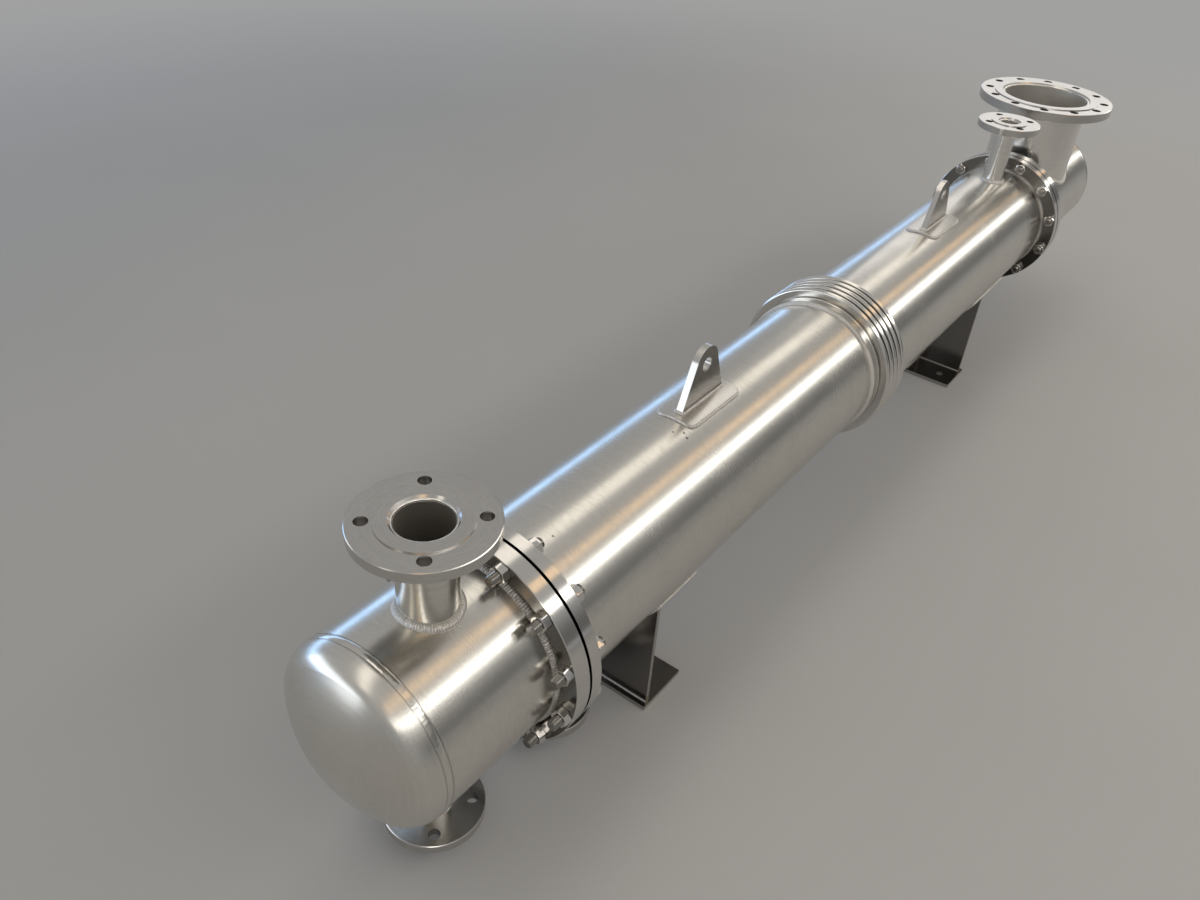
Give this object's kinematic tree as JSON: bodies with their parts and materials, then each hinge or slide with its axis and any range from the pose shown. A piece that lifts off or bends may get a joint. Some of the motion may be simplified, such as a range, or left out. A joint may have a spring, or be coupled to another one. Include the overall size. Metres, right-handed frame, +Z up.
{
  "type": "shell and tube heat exchanger",
  "caption": "Horizontal stainless shell and tube heat exchanger with an expansion bellows, flanged nozzles, lifting lugs and plate saddles.",
  "frame": {"origin": "on the floor under the middle of the overall length", "axes": "+X along the axis from the inlet end to the outlet end, +Z up"},
  "size_m": [2.8228, 0.34, 0.605],
  "materials": {
    "head": "satin, polished round the weld seam",
    "shell": "brushed round the axis",
    "flange": "turned and brushed",
    "gasket": "matt",
    "tube": "drawn",
    "baffle": "mill finish",
    "bellows": "rolled, bright",
    "pipe": "brushed round the axis",
    "saddle": "pickled, matt",
    "lug": "pickled, satin",
    "stud": "rolled thread, bright",
    "weld": "as welded, pickled"
  },
  "bodies": {
    "root": {"near_head": "head", "near_channel": "shell", "near_channel_flange": "flange", "near_gasket": "gasket", "near_tubesheet": "flange", "tube_bundle": "tube", "baffles": "baffle", "near_shell": "shell", "near_collar": "bellows", "bellows": "bellows", "far_collar": "bellows", "far_shell": "shell", "far_tubesheet": "flange", "far_gasket": "gasket", "far_channel_flange": "flange", "far_channel": "shell", "far_head": "head", "inlet_pipe": "pipe", "inlet_flange": "flange", "drain_pipe": "pipe", "drain_flange": "flange", "shell_drain_pipe": "pipe", "shell_drain_flange": "flange", "shell_vent_pipe": "pipe", "shell_vent_flange": "flange", "outlet_pipe": "pipe", "outlet_flange": "flange", "near_wear_pad": "saddle", "near_saddle_web": "saddle", "near_saddle_rib": "saddle", "near_saddle_base": "saddle", "far_wear_pad": "saddle", "far_saddle_web": "saddle", "far_saddle_rib": "saddle", "far_saddle_base": "saddle", "near_lug_pad": "lug", "near_lug": "lug", "far_lug_pad": "lug", "far_lug": "lug"}
  },
  "joints": []
}
